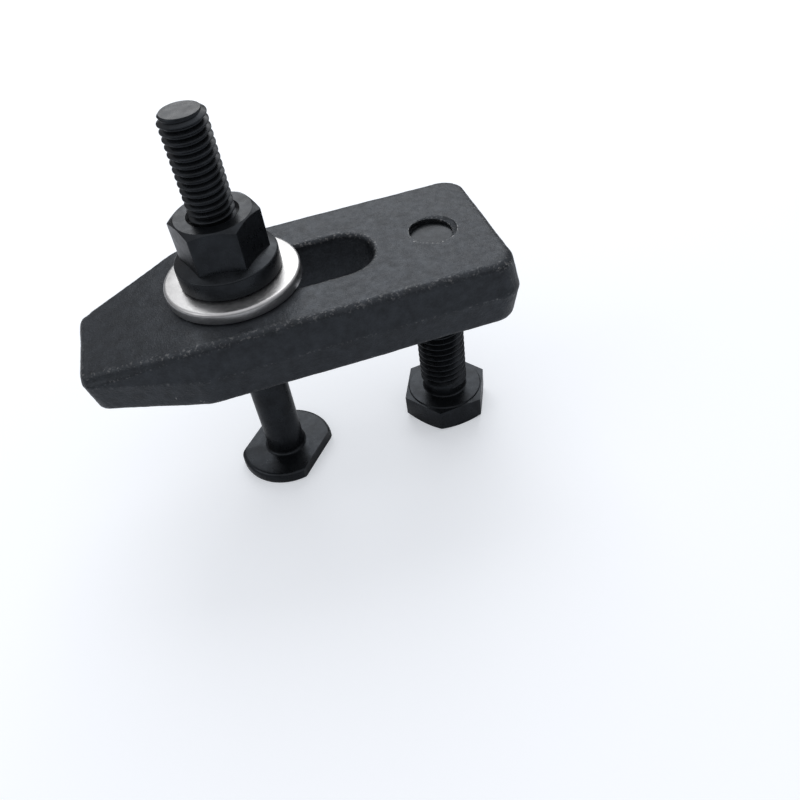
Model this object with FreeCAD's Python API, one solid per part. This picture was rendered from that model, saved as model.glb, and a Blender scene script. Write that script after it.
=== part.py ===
import FreeCAD, Part
import math
import os

# A small forged strap clamp for machine tables and mould plates, standing on its T-bolt and its jack bolt.
# Millimetres. +Z is up and z = 0 is the surface that both bolt heads stand on. X runs from the nose of
# the bar to its heel, with x = 0 and y = 0 at the middle of the bar.

V = FreeCAD.Vector
UP = V(0, 0, 1)

# Forged bar. Lengths and widths are at the joint line, where the two dies met.
bar_length = 79.6
bar_width = 34.4
bar_thickness = 12.9
underside_height = 33.0      # above the table
nose_length = 20.6           # the tapered and sloping stretch
nose_width = 19.8            # at the tip
nose_drop = 4.9              # fall of the top from the start of the slope to the tip
nose_blend_radius = 14.0     # between the level top and the slope
joint_height = 6.4           # joint line above the underside
draft_angle = 8.5            # degrees that the sides lean in above and below the joint line
heel_corner_radius = 4.2
taper_corner_radius = 7.0
nose_corner_radius = 2.6
top_edge_radius = 1.1
bottom_edge_radius = 0.9

# Slot for the T-bolt
slot_width = 12.8
slot_from_tip = 28.8         # tip of the nose to the centre of the slot's first round end
slot_to_hole = 6.4           # metal left between the slot and the tapped hole
slot_rim_radius = 0.9

# T-bolt, M8
stud_from_slot_end = 1.4     # axis behind the centre of the slot's first round end
stud_diameter = 8.0
stud_height = 77.8           # table to the threaded end
stud_end_chamfer = 0.7
t_head_diameter = 20.0
t_head_flats = 15.5          # over the two flats that key the head into a T-slot
t_head_thickness = 2.6
t_head_top_radius = 0.9
t_head_bottom_radius = 0.5
t_head_turn = -40.5          # degrees from +X to a flat
t_head_fillet = 0.7          # where the shank joins the head

# Plain washer
washer_diameter = 24.8
washer_thickness = 2.3
washer_clearance = 0.45      # radial, round the stud
washer_rim_radius = 0.6

# Collar nut, M8
nut_height = 12.0
nut_flats = 13.9
nut_turn = 20.0              # degrees from +X to a corner
collar_diameter = 18.5
collar_height = 3.8          # straight side, from the washer up
collar_slope = 0.8           # rise of the cone from the straight side to the hexagon
collar_foot_chamfer = 0.5
countersink_depth = 0.45
nut_bore_clearance = 0.05    # radial; bore and stud are plain here, at the nominal thread size

# Jack bolt, M10, screwed up through the heel
jack_from_heel = 12.0        # axis to the back of the bar
jack_diameter = 10.0
jack_length = 38.8           # under the head
jack_end_chamfer = 0.9
jack_head_height = 6.0
jack_head_flats = 16.6
jack_head_turn = 5.0         # degrees from +X to a corner
jack_bore_clearance = 0.05   # radial; hole and bolt are plain here, at the nominal thread size

# Hexagons of the nut and the bolt head
hexagon_chamfer_angle = 30.0
hexagon_chamfer_inset = 0.15  # the chamfer's circle lies this far inside the flats

underside_z = underside_height
top_z = underside_z + bar_thickness
joint_z = underside_z + joint_height
tip_x = -bar_length / 2
heel_x = bar_length / 2
taper_x = tip_x + nose_length
jack_x = heel_x - jack_from_heel
jack_hole_radius = jack_diameter / 2 + jack_bore_clearance
slot_first_x = tip_x + slot_from_tip
slot_last_x = jack_x - jack_hole_radius - slot_to_hole - slot_width / 2
stud_x = slot_first_x + stud_from_slot_end
stud_radius = stud_diameter / 2
washer_top_z = top_z + washer_thickness

# plan corners at the joint line, anticlockwise from the near side of the tip, with their radii
plan_corners = [
    (tip_x, -nose_width / 2, nose_corner_radius),
    (taper_x, -bar_width / 2, taper_corner_radius),
    (heel_x, -bar_width / 2, heel_corner_radius),
    (heel_x, bar_width / 2, heel_corner_radius),
    (taper_x, bar_width / 2, taper_corner_radius),
    (tip_x, nose_width / 2, nose_corner_radius),
]


def edges_where(shape, test):
    return [edge for edge in shape.Edges if test(edge)]


def is_circle(edge, radius):
    return isinstance(edge.Curve, Part.Circle) and abs(edge.Curve.Radius - radius) < 0.001


def turned(points, x):
    """Solid of revolution about the upright axis at x, from (radius, z) points in order."""
    profile = Part.makePolygon([V(x + r, 0, z) for r, z in points + points[:1]])
    return Part.Face(profile).revolve(V(x, 0, 0), UP, 360)


def inset_corners(distance, z):
    """Plan corners with every side moved inwards by the same distance."""
    corners = [V(x, y, z) for x, y, radius in plan_corners]
    moved = []
    for before, corner, after in zip(corners[-1:] + corners[:-1], corners, corners[1:] + corners[:1]):
        one, two = [UP.cross(side).normalize() for side in (corner - before, after - corner)]
        moved.append(corner + (one + two) * (distance / (1 + one.dot(two))))
    return moved


def drafted_half(z):
    """Half of the forging, from the joint line to the level z, with flat drafted sides."""
    wide = inset_corners(0, joint_z)
    narrow = inset_corners(abs(z - joint_z) * math.tan(math.radians(draft_angle)), z)
    rings = [wide, narrow]
    for k in range(len(wide)):
        rings.append([wide[k], wide[k - 1], narrow[k - 1], narrow[k]])
    shell = Part.makeShell([Part.Face(Part.makePolygon(ring + ring[:1])) for ring in rings])
    half = Part.Solid(shell if z < joint_z else shell.reversed())
    for x, y, radius in plan_corners:
        start = V(x, y, joint_z)
        half = half.makeFillet(radius, edges_where(half, lambda edge: edge.BoundBox.ZLength > 0.1 and any(
            vertex.Point.isEqual(start, 0.001) for vertex in edge.Vertexes)))
    return half


def above_the_slope():
    """Everything above the sloping top of the nose, with its blend into the level top."""
    high = top_z + bar_length
    slope = math.atan2(nose_drop, nose_length)
    reach = nose_blend_radius * math.tan(slope / 2)
    start = V(taper_x + reach, 0, top_z)
    middle = start - V(nose_blend_radius * math.sin(slope / 2), 0,
                       nose_blend_radius * (1 - math.cos(slope / 2)))
    end = V(taper_x - reach * math.cos(slope), 0, top_z - reach * math.sin(slope))
    beyond = V(taper_x - 2 * nose_length, 0, top_z - 2 * nose_drop)
    corners = [end, beyond, V(beyond.x, 0, high), V(start.x, 0, high), start]
    path = [Part.LineSegment(one, two).toShape() for one, two in zip(corners, corners[1:])]
    face = Part.Face(Part.Wire(path + [Part.Arc(start, middle, end).toShape()]))
    face.translate(V(0, -bar_width, 0))
    return face.extrude(V(0, 2 * bar_width, 0))


def outer_rim(shape, direction):
    """Edges around the faces that look up (direction 1) or down (-1), without those they share."""
    edges = []
    for face in shape.Faces:
        u_low, u_high, v_low, v_high = face.ParameterRange
        if face.normalAt((u_low + u_high) / 2, (v_low + v_high) / 2).z * direction > 0.8:
            edges += face.Edges
    return [edge for edge in edges if sum(edge.isSame(other) for other in edges) == 1]


def slot_prism():
    r = slot_width / 2
    z = underside_z - 1
    near = [V(x, -r, z) for x in (slot_first_x, slot_last_x)]
    far = [V(x, r, z) for x in (slot_last_x, slot_first_x)]
    path = [Part.LineSegment(near[0], near[1]),
            Part.Arc(near[1], V(slot_last_x + r, 0, z), far[0]),
            Part.LineSegment(far[0], far[1]),
            Part.Arc(far[1], V(slot_first_x - r, 0, z), near[0])]
    return Part.Face(Part.Wire([piece.toShape() for piece in path])).extrude(V(0, 0, bar_thickness + 2))


def forged_bar():
    bar = drafted_half(top_z).fuse(drafted_half(underside_z)).cut(above_the_slope())
    bar = bar.makeFillet(top_edge_radius, outer_rim(bar, 1))
    bar = bar.makeFillet(bottom_edge_radius, outer_rim(bar, -1))
    bar = bar.cut(slot_prism())
    inside = slot_width / 2 + 0.01
    bar = bar.makeFillet(slot_rim_radius, edges_where(bar, lambda edge: edge.BoundBox.ZLength < 0.01 and (
        abs(edge.CenterOfMass.y) < inside and slot_first_x - inside < edge.BoundBox.XMin
        and edge.BoundBox.XMax < slot_last_x + inside)))
    return bar.cut(Part.makeCylinder(jack_hole_radius, bar_thickness + 2, V(jack_x, 0, underside_z - 1)))


def t_head():
    radius = t_head_diameter / 2
    disc = Part.makeCylinder(radius, t_head_thickness, V(stud_x, 0, 0))
    disc = disc.makeFillet(t_head_top_radius, edges_where(disc, lambda edge: edge.BoundBox.ZMin > 0.01))
    disc = disc.makeFillet(t_head_bottom_radius, edges_where(disc, lambda edge: edge.BoundBox.ZMax < 0.01))
    between_flats = Part.makeBox(t_head_flats, 2 * t_head_diameter, t_head_thickness,
                                 V(stud_x - t_head_flats / 2, -t_head_diameter, 0))
    between_flats.rotate(V(stud_x, 0, 0), UP, t_head_turn)
    return disc.common(between_flats)


def t_bolt():
    shank = turned([(0, 0), (stud_radius, 0), (stud_radius, stud_height - stud_end_chamfer),
                    (stud_radius - stud_end_chamfer, stud_height), (0, stud_height)], stud_x)
    bolt = shank.fuse(t_head()).removeSplitter()
    return bolt.makeFillet(t_head_fillet, edges_where(
        bolt, lambda edge: is_circle(edge, stud_radius) and edge.BoundBox.ZMax < t_head_thickness + 0.01))


def washer():
    ring = Part.makeCylinder(washer_diameter / 2, washer_thickness, V(stud_x, 0, top_z))
    hole = Part.makeCylinder(stud_radius + washer_clearance, washer_thickness, V(stud_x, 0, top_z))
    ring = ring.cut(hole)
    return ring.makeFillet(washer_rim_radius, edges_where(
        ring, lambda edge: is_circle(edge, washer_diameter / 2) and edge.BoundBox.ZMin > top_z + 0.01))


def chamfered_hexagon(flats, turn, x, z, height, chamfered_z):
    """Hexagonal prism from z upwards, with its corners turned down at the level chamfered_z."""
    corner = flats / math.sqrt(3)
    angles = [math.radians(turn + 60 * k) for k in range(7)]
    ring = Part.makePolygon([V(x + corner * math.cos(a), corner * math.sin(a), z) for a in angles])
    prism = Part.Face(ring).extrude(V(0, 0, height))
    circle = flats / 2 - hexagon_chamfer_inset
    fall = (corner - circle) * math.tan(math.radians(hexagon_chamfer_angle))
    other_z = z if chamfered_z > z else z + height
    shoulder_z = chamfered_z - fall if chamfered_z > z else chamfered_z + fall
    return prism.common(turned([(0, other_z), (corner, other_z), (corner, shoulder_z),
                                (circle, chamfered_z), (0, chamfered_z)], x))


def collar_nut():
    seat = washer_top_z
    top = seat + nut_height
    slope_top = seat + collar_height + collar_slope
    hexagon = chamfered_hexagon(nut_flats, nut_turn, stud_x, seat, nut_height, top)
    rim = collar_diameter / 2
    collar = turned([(0, seat), (rim - collar_foot_chamfer, seat), (rim, seat + collar_foot_chamfer),
                     (rim, seat + collar_height), (nut_flats / 2, slope_top), (0, slope_top)], stud_x)
    bore = stud_radius + nut_bore_clearance
    opening = turned([(0, seat - 1), (bore, seat - 1), (bore, top - countersink_depth),
                      (bore + countersink_depth + 1, top + 1), (0, top + 1)], stud_x)
    return hexagon.fuse(collar).removeSplitter().cut(opening)


def jack_bolt():
    radius = jack_diameter / 2
    end = jack_head_height + jack_length
    shank = turned([(0, 0), (radius, 0), (radius, end - jack_end_chamfer),
                    (radius - jack_end_chamfer, end), (0, end)], jack_x)
    head = chamfered_hexagon(jack_head_flats, jack_head_turn, jack_x, 0, jack_head_height, 0)
    return shank.fuse(head).removeSplitter()


pieces = {
    "clamp_bar": forged_bar,
    "t_bolt": t_bolt,
    "washer": washer,
    "collar_nut": collar_nut,
    "jack_bolt": jack_bolt,
}

os.makedirs("parts", exist_ok=True)
for name, make in pieces.items():
    shape = make()
    shape.exportStep("parts/" + name + ".step")
    state = "valid" if shape.isValid() else "BROKEN"
    print(name, state, len(shape.Solids), "solid, volume %.1f" % shape.Volume)
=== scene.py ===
import math

import bmesh
import bpy
from mathutils import Matrix, Vector, noise


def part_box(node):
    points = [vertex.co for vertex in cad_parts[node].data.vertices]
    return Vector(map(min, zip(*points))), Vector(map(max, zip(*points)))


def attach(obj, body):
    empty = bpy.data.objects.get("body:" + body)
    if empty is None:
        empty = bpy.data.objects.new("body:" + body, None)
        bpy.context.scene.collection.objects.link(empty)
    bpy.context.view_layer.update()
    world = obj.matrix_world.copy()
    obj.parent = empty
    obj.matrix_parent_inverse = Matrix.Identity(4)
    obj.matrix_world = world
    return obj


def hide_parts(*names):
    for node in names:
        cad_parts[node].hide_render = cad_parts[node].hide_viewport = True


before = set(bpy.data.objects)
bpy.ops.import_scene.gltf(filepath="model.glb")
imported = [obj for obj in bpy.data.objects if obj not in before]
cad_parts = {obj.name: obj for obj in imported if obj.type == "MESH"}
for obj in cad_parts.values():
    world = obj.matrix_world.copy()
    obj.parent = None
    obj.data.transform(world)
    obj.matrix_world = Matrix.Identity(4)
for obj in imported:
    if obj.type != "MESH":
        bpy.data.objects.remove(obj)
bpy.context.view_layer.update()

MM = 0.001
AROUND = 96                    # steps round a turned piece
UP = Vector((0, 0, 1))

# places, read from the frame
bar_low, bar_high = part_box("clamp_bar")
stud_low, stud_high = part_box("t_bolt")
washer_low, washer_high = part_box("washer")
nut_low, nut_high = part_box("collar_nut")
jack_low, jack_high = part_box("jack_bolt")
stud_x = (washer_low.x + washer_high.x) / 2
jack_x = (jack_low.x + jack_high.x) / 2

# forged bar
bar_length = bar_high.x - bar_low.x
bar_width = bar_high.y - bar_low.y
bar_thickness = bar_high.z - bar_low.z
nose_length = 20.6 * MM
nose_width = 19.8 * MM
nose_drop = 4.9 * MM
joint_z = bar_low.z + 6.4 * MM
draft = math.tan(math.radians(8.5))
taper_x = bar_low.x + nose_length
slot_width = 12.8 * MM
slot_first_x = bar_low.x + 28.8 * MM
slot_last_x = jack_x - (5.05 + 6.4) * MM - slot_width / 2
forging_grid = 0.36 * MM       # spacing of the forged skin's mesh
nose_blend = 14.0 * MM
nose_corner = 2.6 * MM
taper_corner = 7.0 * MM
heel_corner = 4.2 * MM
top_round = 1.1 * MM
bottom_round = 0.9 * MM
joint_ridge = 0.06 * MM        # fin left where the dies met

# screws
stud_radius = 4.0 * MM
stud_pitch = 1.25 * MM
stud_thread_low = 32.9 * MM
stud_end_chamfer = 0.75 * MM
t_head_radius = 10.0 * MM
t_head_flats = 15.5 * MM
t_head_turn = math.radians(-40.5)
t_head_thickness = 2.6 * MM
jack_radius = 5.0 * MM
jack_pitch = 1.5 * MM
jack_end_chamfer = 1.0 * MM
jack_head_height = 6.0 * MM
jack_head_flats = 16.6 * MM
jack_head_turn = math.radians(5.0)
thread_gap = 0.03 * MM         # radial, between a screw's thread and the one it runs in

# collar nut
nut_flats = 13.9 * MM
nut_turn = math.radians(20.0)
collar_radius = (nut_high.x - nut_low.x) / 2
collar_height = 3.8 * MM
collar_slope = 0.8 * MM


# Mesh helpers

def new_object(name, bm, smooth_angle=35):
    """Mesh object from a finished bmesh, which it frees."""
    bmesh.ops.remove_doubles(bm, verts=bm.verts, dist=0.0005 * MM)
    bmesh.ops.recalc_face_normals(bm, faces=bm.faces)
    mesh = bpy.data.meshes.new(name)
    bm.to_mesh(mesh)
    bm.free()
    shade(mesh, smooth_angle)
    piece = bpy.data.objects.new(name, mesh)
    bpy.context.scene.collection.objects.link(piece)
    return piece


def shade(mesh, smooth_angle):
    mesh.polygons.foreach_set("use_smooth", [True] * len(mesh.polygons))
    mesh.set_sharp_from_angle(angle=math.radians(smooth_angle))


def apply_modifiers(piece):
    """Bakes the live modifiers into the piece's mesh."""
    bpy.context.view_layer.update()
    graph = bpy.context.evaluated_depsgraph_get()
    baked = bpy.data.meshes.new_from_object(piece.evaluated_get(graph))
    piece.modifiers.clear()
    piece.data = baked


def combine(piece, other, operation):
    """Boolean of two closed meshes; the other one is used up."""
    step = piece.modifiers.new("cut", "BOOLEAN")
    step.operation = operation
    step.solver = "EXACT"
    step.object = other
    apply_modifiers(piece)
    bpy.data.objects.remove(other)


def turned(points, x, steps=AROUND):
    """Bmesh turned about the upright axis at x, from (radius, z) points."""
    bm = bmesh.new()
    corners = [bm.verts.new((x + r, 0, z)) for r, z in points]
    for one, two in zip(corners, corners[1:]):
        bm.edges.new((one, two))
    closed = points[0][0] > 0
    if closed:
        bm.edges.new((corners[-1], corners[0]))
    bmesh.ops.spin(bm, geom=bm.verts[:] + bm.edges[:], cent=(x, 0, 0), axis=UP, angle=2 * math.pi,
                   steps=steps, use_merge=True)
    bmesh.ops.remove_doubles(bm, verts=bm.verts, dist=0.0005 * MM)
    bmesh.ops.recalc_face_normals(bm, faces=bm.faces)
    return bm


def arc_points(r, z, radius, start, end, count=5):
    """(radius, z) points on a quarter or less of a circle centred at (r, z); angles in degrees."""
    angles = [math.radians(start + (end - start) * k / (count - 1)) for k in range(count)]
    return [(r + radius * math.cos(a), z + radius * math.sin(a)) for a in angles]


def helicoid(radius, pitch, low, high, x, steps=64):
    """Bmesh skin of a right-hand thread between two levels, open at both ends."""
    depth = 0.61 * pitch
    rise = [(0.00, 0.0), (0.10, -0.03), (0.20, 0.0), (0.26, 0.15), (0.48, 0.86), (0.54, 0.98), (0.60, 1.0),
            (0.66, 0.98), (0.72, 0.86), (0.94, 0.15)]
    bm = bmesh.new()
    turns = int((high - low) / pitch) + 4
    start = math.floor(low / pitch) * pitch - 2 * pitch
    corners = [bm.verts.new((x + radius - depth * (1 - up), 0, start + (turn + along) * pitch))
               for turn in range(turns) for along, up in rise]
    for one, two in zip(corners, corners[1:]):
        bm.edges.new((one, two))
    bmesh.ops.spin(bm, geom=bm.verts[:] + bm.edges[:], cent=(x, 0, 0), axis=UP, angle=2 * math.pi,
                   dvec=(0, 0, pitch / steps), steps=steps)
    bmesh.ops.remove_doubles(bm, verts=bm.verts, dist=0.001 * MM)
    trim(bm, (0, 0, low), (0, 0, -1))
    trim(bm, (0, 0, high), (0, 0, 1))
    return bm


def trim(bm, place, away):
    """Cuts off what lies beyond a plane."""
    bmesh.ops.bisect_plane(bm, geom=bm.verts[:] + bm.edges[:] + bm.faces[:], dist=0.0001 * MM,
                           plane_co=place, plane_no=away, clear_outer=True)


def close_ends(bm):
    bmesh.ops.holes_fill(bm, edges=[edge for edge in bm.edges if edge.is_boundary], sides=0)


def limit_radius(bm, x, least, most):
    """Holds each vertex's distance from the axis between two functions of its height."""
    for v in bm.verts:
        out = Vector((v.co.x - x, v.co.y, 0))
        r = out.length
        if r < 1e-7:
            continue
        wanted = min(max(r, least(v.co.z)), most(v.co.z))
        v.co += out * (wanted / r - 1)


def extend_down(bm, points, x):
    """Carries the lowest open ring on through (radius, z) points."""
    low = min(v.co.z for v in bm.verts)
    ring = [edge for edge in bm.edges if edge.is_boundary and all(v.co.z < low + 0.01 * MM for v in edge.verts)]
    for r, z in points:
        made = bmesh.ops.extrude_edge_only(bm, edges=ring)["geom"]
        for v in [item for item in made if isinstance(item, bmesh.types.BMVert)]:
            out = Vector((v.co.x - x, v.co.y, 0)).normalized()
            v.co = Vector((x, 0, z)) + out * r
        ring = [item for item in made if isinstance(item, bmesh.types.BMEdge)]
    bmesh.ops.holes_fill(bm, edges=ring, sides=0)


def cut_flat(bm, centre, angle, distance):
    """Planes off one flat parallel to the upright axis."""
    out = Vector((math.cos(angle), math.sin(angle), 0))
    trim(bm, Vector((centre, 0, 0)) + out * distance, out)
    edges = [edge for edge in bm.edges if edge.is_boundary]
    bmesh.ops.holes_fill(bm, edges=edges, sides=0)


# Pieces

def bar_outline(inset, arc_steps=6):
    """Plan of the bar, drawn in by inset from the joint line, as (x, y) points anticlockwise."""
    half, tip = bar_width / 2 - inset, nose_width / 2 - inset
    lean = math.hypot(nose_length, (bar_width - nose_width) / 2)
    tip -= inset * (lean - nose_length) / nose_length - inset * (bar_width - nose_width) / 2 / nose_length
    low, high = bar_low.x + inset, bar_high.x - inset
    corners = [((low, -tip), nose_corner), ((taper_x, -half), taper_corner), ((high, -half), heel_corner),
               ((high, half), heel_corner), ((taper_x, half), taper_corner), ((low, tip), nose_corner)]
    points = []
    for k, (corner, radius) in enumerate(corners):
        here = Vector(corner)
        before = (Vector(corners[k - 1][0]) - here).normalized()
        after = (Vector(corners[(k + 1) % 6][0]) - here).normalized()
        half_angle = before.angle(after) / 2
        centre = here + (before + after).normalized() * (radius / math.sin(half_angle))
        reach = radius / math.tan(half_angle)
        start, end = here + before * reach - centre, here + after * reach - centre
        for step in range(arc_steps + 1):
            points.append(centre + start.lerp(end, step / arc_steps).normalized() * radius)
    return points


def nose_slope(x):
    """How far the top lies below its level at x: a tangent arc into a plain slope."""
    rate = nose_drop / nose_length
    bend = nose_blend * math.tan(math.atan(rate) / 2)
    past = taper_x - x
    if past <= -bend:
        return 0.0
    if past < bend:
        return nose_blend - math.sqrt(nose_blend ** 2 - (past + bend) ** 2)
    return past * rate


def forged_blank():
    """The drafted, tapered and sloping blank, rounded along the rims, as stacked outlines."""
    top, low = bar_high.z - joint_z, joint_z - bar_low.z
    levels = []
    for angle in (90, 68, 45, 22, 0):
        turn = math.radians(angle)
        levels.append((-low + bottom_round * (1 - math.sin(turn)), bottom_round * (1 - math.cos(turn)), 0.0))
    levels += [(-0.25 * MM, 0.0, 0.0), (0.0, -joint_ridge, 0.0), (0.25 * MM, 0.0, 0.0)]
    for angle in (0, 22, 45, 68, 90):
        turn = math.radians(angle)
        levels.append((top - top_round * (1 - math.sin(turn)), top_round * (1 - math.cos(turn)), 1.0))
    bm = bmesh.new()
    rings = []
    for z, inward, on_top in levels:
        inset = max(0.0, abs(z) * draft + inward) if inward >= 0 else inward
        ring = []
        for x, y in bar_outline(inset):
            fall = nose_slope(x) * on_top
            back = fall * draft
            ring.append(bm.verts.new((x - back * (1 if x < bar_low.x + 2 * MM else 0), y, joint_z + z - fall)))
        rings.append(ring)
    for one, two in zip(rings, rings[1:]):
        for k in range(len(one)):
            after = (k + 1) % len(one)
            bm.faces.new((one[k], one[after], two[after], two[k]))
    bm.faces.new(list(reversed(rings[0])))
    lay_top(bm, rings[-1])
    return bm


def lay_top(bm, ring):
    """Closes the top with strips across it, so that the slope can bend."""
    half = len(ring) // 2
    near, far = ring[:half], list(reversed(ring[half:]))
    for one, two, three, four in zip(near, near[1:], far[1:], far):
        bm.faces.new((one, two, three, four))


def round_edges(bm, chosen, offset, segments):
    bmesh.ops.bevel(bm, geom=chosen, offset=offset, offset_type="OFFSET", segments=segments, profile=0.5,
                    affect="EDGES", clamp_overlap=True, material=-1)


def slot_cutter():
    """Long round-ended cutter that flares at both faces, as the slot's rims are rounded."""
    flare = 1.0 * MM
    r = slot_width / 2
    levels = [(bar_low.z - 2 * MM, 2.2 * flare), (bar_low.z, flare)]
    levels += [(bar_low.z + flare * (1 - math.cos(a)), flare * (1 - math.sin(a)))
               for a in (math.radians(d) for d in (25, 45, 65, 90))]
    levels += [(bar_high.z - z + bar_low.z, out) for z, out in reversed(levels)]
    bm = bmesh.new()
    ring = bmesh.ops.create_circle(bm, segments=AROUND, radius=r)["verts"]
    bmesh.ops.rotate(bm, verts=ring, cent=(0, 0, 0), matrix=Matrix.Rotation(math.pi / AROUND, 3, "Z"))
    bm.faces.new(ring)
    edges = bm.edges[:]
    for number, (z, out) in enumerate(levels):
        if number:
            made = bmesh.ops.extrude_edge_only(bm, edges=edges)["geom"]
            ring = [item for item in made if isinstance(item, bmesh.types.BMVert)]
            edges = [item for item in made if isinstance(item, bmesh.types.BMEdge)]
        for v in ring:
            flat = Vector((v.co.x, v.co.y, 0)).normalized() * (r + out)
            v.co = flat + Vector((0, 0, z))
    bmesh.ops.holes_fill(bm, edges=edges, sides=0)
    for v in bm.verts:
        v.co.x += slot_last_x if v.co.x > 0 else slot_first_x
    return new_object("slot_cutter", bm)


def forged_skin(piece):
    """Evens out the mesh, then gives it the uneven skin that dies and scale leave."""
    grid = piece.modifiers.new("skin", "REMESH")
    grid.mode = "VOXEL"
    grid.voxel_size = forging_grid
    grid.use_smooth_shade = True
    apply_modifiers(piece)
    bm = bmesh.new()
    bm.from_mesh(piece.data)
    bm.normal_update()
    moves = []
    for v in bm.verts:
        p = v.co / MM
        swell = noise.noise(p * 0.09) * 0.10 + noise.noise(p * 0.28 + Vector((9, 0, 0))) * 0.06
        pitting = noise.noise(p * 0.9) * 0.030 + noise.noise(p * 2.1) * 0.016
        moves.append(v.normal * ((swell + pitting - 0.02) * MM))
    for v, move in zip(bm.verts, moves):
        v.co += move
        v.co.z = min(v.co.z, bar_high.z)      # the washer slides on this level
    bm.to_mesh(piece.data)
    bm.free()


def clamp_bar():
    bar = new_object("forged_clamp_bar", forged_blank())
    combine(bar, slot_cutter(), "DIFFERENCE")
    forged_skin(bar)
    combine(bar, tapped_hole_cutter(), "DIFFERENCE")
    shade(bar.data, 40)
    return bar


def tapped_hole_cutter():
    low, high = bar_low.z - MM, bar_high.z + MM
    bm = helicoid(jack_radius + thread_gap, jack_pitch, low, high, jack_x, 48)
    close_ends(bm)
    return new_object("tap", bm)


def t_bolt():
    top = stud_high.z
    bm = helicoid(stud_radius, stud_pitch, stud_thread_low, top, stud_x)
    root = stud_radius - 0.65 * stud_pitch
    run_out = 2 * stud_pitch

    def least(z):
        share = max(0.0, 1 - (z - stud_thread_low) / run_out)
        return root + (stud_radius - root) * share

    def most(z):
        return stud_radius - max(0.0, z - (top - stud_end_chamfer)) * 1.0

    limit_radius(bm, stud_x, least, most)
    edge_radius = 0.9 * MM
    fillet = 0.7 * MM
    profile = [(stud_radius, t_head_thickness + fillet)]
    profile += arc_points(stud_radius + fillet, t_head_thickness + fillet, fillet, 180, 270)[1:]
    profile += arc_points(t_head_radius - edge_radius, t_head_thickness - edge_radius, edge_radius, 90, 0)
    profile += arc_points(t_head_radius - 0.5 * MM, 0.5 * MM, 0.5 * MM, 0, -90, 4)
    extend_down(bm, profile, stud_x)
    close_ends(bm)
    bmesh.ops.recalc_face_normals(bm, faces=bm.faces)
    for turn in (t_head_turn, t_head_turn + math.pi):
        cut_flat(bm, stud_x, turn, t_head_flats / 2)
    return new_object("m8_t_bolt", bm)


def washer():
    outer = (washer_high.x - washer_low.x) / 2
    hole = stud_radius + 0.45 * MM
    low, high = washer_low.z, washer_high.z
    points = [(hole, low + 0.1 * MM), (hole + 0.1 * MM, low), (outer - 0.35 * MM, low)]
    points += arc_points(outer - 0.35 * MM, low + 0.35 * MM, 0.35 * MM, -90, 0)[1:]
    points += arc_points(outer - 0.6 * MM, high - 0.6 * MM, 0.6 * MM, 0, 90)
    points += [(hole + 0.25 * MM, high), (hole, high - 0.2 * MM)]
    return new_object("plain_washer", turned(points, stud_x, 128))


def nut_hexagon():
    corner = nut_flats / math.sqrt(3)
    bm = bmesh.new()
    ring = bmesh.ops.create_circle(bm, segments=6, radius=corner, cap_ends=True)["verts"]
    bmesh.ops.rotate(bm, verts=ring, cent=(0, 0, 0), matrix=Matrix.Rotation(nut_turn, 3, "Z"))
    made = bmesh.ops.extrude_face_region(bm, geom=bm.faces[:])["geom"]
    lifted = [item for item in made if isinstance(item, bmesh.types.BMVert)]
    bmesh.ops.translate(bm, vec=(0, 0, nut_high.z - nut_low.z), verts=lifted)
    bmesh.ops.translate(bm, vec=(stud_x, 0, nut_low.z), verts=bm.verts)
    corners = [edge for edge in bm.edges if abs(edge.verts[0].co.z - edge.verts[1].co.z) > MM]
    round_edges(bm, corners, 0.22 * MM, 3)
    return new_object("nut_hexagon", bm)


def collar_nut():
    low, top = nut_low.z, nut_high.z
    corner = nut_flats / math.sqrt(3)
    circle = nut_flats / 2 - 0.25 * MM
    fall = (corner - circle) * math.tan(math.radians(30))
    nut = nut_hexagon()
    blank = turned([(0, low), (corner, low), (corner, top - fall), (circle, top), (0, top)], stud_x)
    combine(nut, new_object("nut_blank", blank), "INTERSECT")
    slope_top = low + collar_height + collar_slope
    rim_round = 0.35 * MM
    points = [(0, low), (collar_radius - 0.5 * MM, low), (collar_radius, low + 0.5 * MM)]
    points += [(collar_radius, low + collar_height - rim_round)]
    points += arc_points(collar_radius - rim_round, low + collar_height - rim_round, rim_round, 0, 75)[1:]
    points += [(nut_flats / 2 - 0.4 * MM, slope_top), (0, slope_top)]
    combine(nut, new_object("nut_collar", turned(points, stud_x)), "UNION")
    bm = helicoid(stud_radius + thread_gap, stud_pitch, low - MM, top + MM, stud_x, 64)
    close_ends(bm)
    combine(nut, new_object("nut_tap", bm), "DIFFERENCE")
    sink = [(0, top - 0.9 * MM), (3.9 * MM, top - 0.7 * MM), (4.75 * MM, top + 0.15 * MM), (0, top + 0.15 * MM)]
    combine(nut, new_object("countersink", turned(sink, stud_x)), "DIFFERENCE")
    nut.name = "m8_collar_nut"
    shade(nut.data, 25)
    return nut


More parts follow.
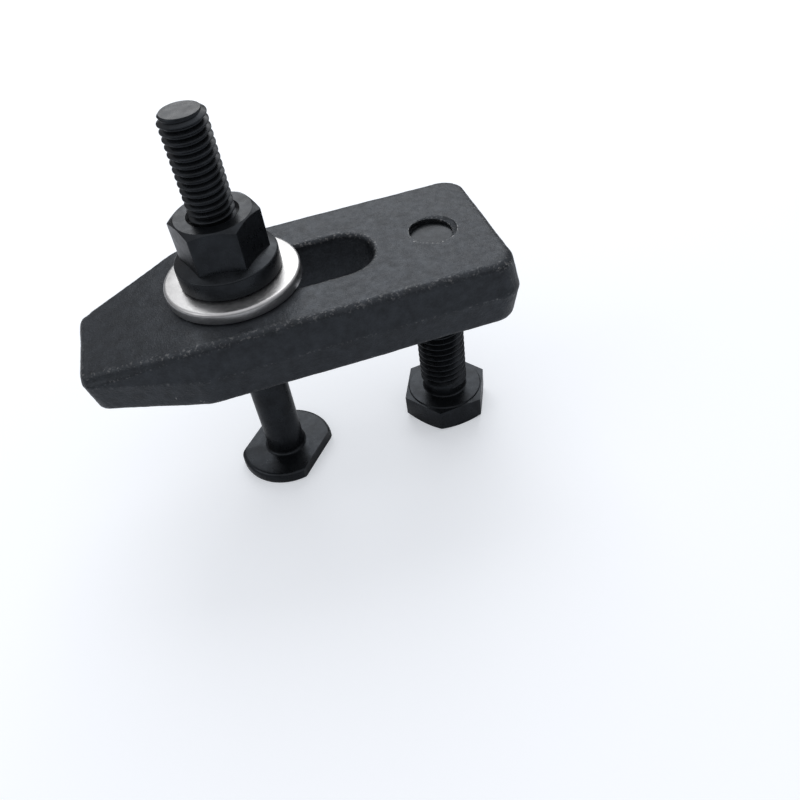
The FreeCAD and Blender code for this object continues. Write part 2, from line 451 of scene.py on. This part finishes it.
def jack_bolt():
    top = jack_high.z
    neck = jack_head_height + 2.2 * MM
    bm = helicoid(jack_radius, jack_pitch, neck, top, jack_x)
    root = jack_radius - 0.65 * jack_pitch
    run_out = 1.5 * jack_pitch

    def least(z):
        share = max(0.0, 1 - (z - neck) / run_out)
        return root + (jack_radius * 0.92 - root) * share

    def most(z):
        return jack_radius - max(0.0, z - (top - jack_end_chamfer)) * 1.0 - (
            0.08 * jack_radius if z < neck + 0.01 * MM else 0)

    limit_radius(bm, jack_x, least, most)
    corner = jack_head_flats / math.sqrt(3)
    face = jack_head_flats / 2 - 0.25 * MM
    fall = (corner - face) * math.tan(math.radians(30))
    pad = 0.3 * MM
    fillet = 0.4 * MM
    profile = [(jack_radius * 0.92, jack_head_height + fillet)]
    profile += arc_points(jack_radius * 0.92 + fillet, jack_head_height + fillet, fillet, 180, 270)[1:]
    profile += [(face - 0.2 * MM, jack_head_height), (face, jack_head_height - pad),
                (corner, jack_head_height - pad - 0.05 * MM), (corner, fall), (face, 0)]
    extend_down(bm, profile, jack_x)
    close_ends(bm)
    bmesh.ops.recalc_face_normals(bm, faces=bm.faces)
    for k in range(6):
        cut_flat(bm, jack_x, jack_head_turn + math.radians(30 + 60 * k), jack_head_flats / 2)
    return new_object("m10_jack_bolt", bm)


# Materials

class Nodes:
    """A material's node tree, with short ways to add and join nodes."""

    def __init__(self, name):
        self.material = bpy.data.materials.new(name)
        self.material.use_nodes = True
        self.tree = self.material.node_tree
        self.shader = self.tree.nodes["Principled BSDF"]

    def add(self, kind, **values):
        node = self.tree.nodes.new(kind)
        for key, value in values.items():
            if key in node.inputs:
                node.inputs[key].default_value = value
            else:
                setattr(node, key, value)
        return node

    def join(self, source, target):
        self.tree.links.new(source, target)

    def noise(self, scale, detail=4.0, roughness=0.6):
        """Noise on object coordinates; scale is in cycles a metre."""
        place = self.add("ShaderNodeTexCoord")
        texture = self.add("ShaderNodeTexNoise", Scale=scale, Detail=detail, Roughness=roughness)
        self.join(place.outputs["Object"], texture.inputs["Vector"])
        return texture.outputs["Fac"]

    def ramp(self, source, low, high, dark, light):
        ramp = self.add("ShaderNodeValToRGB")
        ramp.color_ramp.elements[0].position = low
        ramp.color_ramp.elements[1].position = high
        ramp.color_ramp.elements[0].color = dark
        ramp.color_ramp.elements[1].color = light
        self.join(source, ramp.inputs["Fac"])
        return ramp.outputs["Color"]

    def bump(self, heights, distance):
        """Chains bumps from (height, strength) pairs."""
        last = None
        for height, strength in heights:
            bump = self.add("ShaderNodeBump", Strength=strength, Distance=distance)
            self.join(height, bump.inputs["Height"])
            if last:
                self.join(last, bump.inputs["Normal"])
            last = bump.outputs["Normal"]
        self.join(last, self.shader.inputs["Normal"])


def grey(value, blue=1.0):
    return (value, value * (1 + 0.15 * blue), value * (1 + 0.35 * blue), 1)


def forged_black():
    n = Nodes("forged_black_oxide")
    black = n.ramp(n.noise(420, 6, 0.65), 0.3, 0.75, grey(0.022), grey(0.046))
    edges = n.add("ShaderNodeNewGeometry")
    worn = n.ramp(edges.outputs["Pointiness"], 0.507, 0.535, grey(0, 0), grey(1, 0))
    flecks = n.ramp(n.noise(1900, 4), 0.53, 0.63, grey(0, 0), grey(1, 0))
    rubbed = n.add("ShaderNodeMath", operation="MULTIPLY")
    n.join(worn, rubbed.inputs[0])
    n.join(flecks, rubbed.inputs[1])
    colour = n.add("ShaderNodeMix", data_type="RGBA")
    n.join(rubbed.outputs["Value"], colour.inputs["Factor"])
    n.join(black, colour.inputs[6])
    colour.inputs[7].default_value = grey(0.28, 0)
    n.join(colour.outputs[2], n.shader.inputs["Base Color"])
    gloss = n.ramp(n.noise(900, 4), 0.3, 0.7, grey(0.34, 0), grey(0.50, 0))
    n.join(gloss, n.shader.inputs["Roughness"])
    n.shader.inputs["Metallic"].default_value = 0.6
    n.bump([(n.noise(520, 3), 0.5), (n.noise(2600, 3), 0.6)], 0.00015)
    return n.material


def bolt_black():
    n = Nodes("rolled_black_oxide")
    colour = n.ramp(n.noise(300, 5), 0.3, 0.75, grey(0.014), grey(0.03))
    n.join(colour, n.shader.inputs["Base Color"])
    gloss = n.ramp(n.noise(700, 4), 0.3, 0.7, grey(0.24, 0), grey(0.38, 0))
    n.join(gloss, n.shader.inputs["Roughness"])
    n.shader.inputs["Metallic"].default_value = 0.75
    n.bump([(n.noise(900, 3), 0.12)], 0.0001)
    return n.material


def washer_steel():
    n = Nodes("satin_zinc")
    colour = n.ramp(n.noise(350, 4), 0.3, 0.7, grey(0.52, 0), grey(0.62, 0))
    n.join(colour, n.shader.inputs["Base Color"])
    gloss = n.ramp(n.noise(1500, 3), 0.3, 0.7, grey(0.28, 0), grey(0.4, 0))
    n.join(gloss, n.shader.inputs["Roughness"])
    n.shader.inputs["Metallic"].default_value = 1.0
    n.bump([(n.noise(1800, 3), 0.1)], 0.0001)
    return n.material


# Stage

def floor_material():
    n = Nodes("white_sheet")
    n.shader.inputs["Base Color"].default_value = (0.70, 0.72, 0.75, 1)
    n.shader.inputs["Roughness"].default_value = 0.9
    n.shader.inputs["Specular IOR Level"].default_value = 0.1
    glow = n.add("ShaderNodeEmission", Color=(0.93, 0.96, 1.0, 1), Strength=0.40)
    both = n.add("ShaderNodeAddShader")
    rays = n.add("ShaderNodeLightPath")
    choose = n.add("ShaderNodeMixShader")
    n.join(n.shader.outputs["BSDF"], both.inputs[0])
    n.join(glow.outputs["Emission"], both.inputs[1])
    n.join(rays.outputs["Is Camera Ray"], choose.inputs["Fac"])
    n.join(n.shader.outputs["BSDF"], choose.inputs[1])
    n.join(both.outputs["Shader"], choose.inputs[2])
    n.join(choose.outputs["Shader"], n.tree.nodes["Material Output"].inputs["Surface"])
    return n.material


def lay_floor():
    bm = bmesh.new()
    bmesh.ops.create_grid(bm, x_segments=1, y_segments=1, size=1.5)
    floor = new_object("floor", bm)
    floor.data.materials.append(floor_material())


def light_room():
    world = bpy.data.worlds.new("room")
    bpy.context.scene.world = world
    world.use_nodes = True
    tree = world.node_tree
    back = tree.nodes["Background"]
    place = tree.nodes.new("ShaderNodeTexCoord")
    split = tree.nodes.new("ShaderNodeSeparateXYZ")
    ramp = tree.nodes.new("ShaderNodeValToRGB")
    for element, position, value in zip(ramp.color_ramp.elements, (0.0, 0.9), (0.05, 0.80)):
        element.position = position
        element.color = (value, value, value * 1.03, 1)
    white = tree.nodes.new("ShaderNodeBackground")
    white.inputs["Color"].default_value = (0.985, 0.985, 0.985, 1)
    rays = tree.nodes.new("ShaderNodeLightPath")
    choose = tree.nodes.new("ShaderNodeMixShader")
    for source, target in ((place.outputs["Generated"], split.inputs["Vector"]),
                           (split.outputs["Z"], ramp.inputs["Fac"]),
                           (ramp.outputs["Color"], back.inputs["Color"]),
                           (rays.outputs["Is Camera Ray"], choose.inputs["Fac"]),
                           (back.outputs["Background"], choose.inputs[1]),
                           (white.outputs["Background"], choose.inputs[2]),
                           (choose.outputs["Shader"], tree.nodes["World Output"].inputs["Surface"])):
        tree.links.new(source, target)
    area_light("softbox", (0.10, 0.42, 0.45), (0, 0, 0.03), 0.5, 1.6)
    area_light("left_panel", (-0.45, -0.05, 0.35), (0, 0, 0.03), 0.3, 0.25)


def area_light(name, place, target, size, watts):
    light = bpy.data.lights.new(name, "AREA")
    light.shape = "SQUARE"
    light.size = size
    light.energy = watts
    lamp = bpy.data.objects.new(name, light)
    lamp.location = place
    lamp.rotation_euler = (Vector(target) - Vector(place)).to_track_quat("-Z", "Y").to_euler()
    bpy.context.scene.collection.objects.link(lamp)


def set_camera():
    camera_data = bpy.data.cameras.new("camera")
    camera_data.sensor_width = 36
    camera_data.lens = 33.7
    camera_data.clip_start = 0.005
    camera = bpy.data.objects.new("camera", camera_data)
    place = Vector((-0.00577, -0.11690, 0.12301))
    target = Vector((0.01220, -0.02507, 0.03000))
    roll = math.radians(-8.8)
    aim = (target - place).to_track_quat("-Z", "Y")
    camera.matrix_world = (Matrix.Translation(place) @ aim.to_matrix().to_4x4()
                           @ Matrix.Rotation(roll, 4, "Z"))
    bpy.context.scene.collection.objects.link(camera)
    bpy.context.scene.camera = camera
    bpy.context.scene.view_settings.view_transform = "Standard"


# Assembly

def dress(piece, node, body, material):
    piece.data.materials.clear()
    piece.data.materials.append(material)
    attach(piece, body)
    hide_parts(node)


set_camera()
light_room()
lay_floor()
forged, rolled, bright = forged_black(), bolt_black(), washer_steel()
dress(clamp_bar(), "clamp_bar", "bar", forged)
dress(t_bolt(), "t_bolt", "stud", rolled)
dress(washer(), "washer", "carriage", bright)
dress(collar_nut(), "collar_nut", "nut", rolled)
dress(jack_bolt(), "jack_bolt", "jack", rolled)
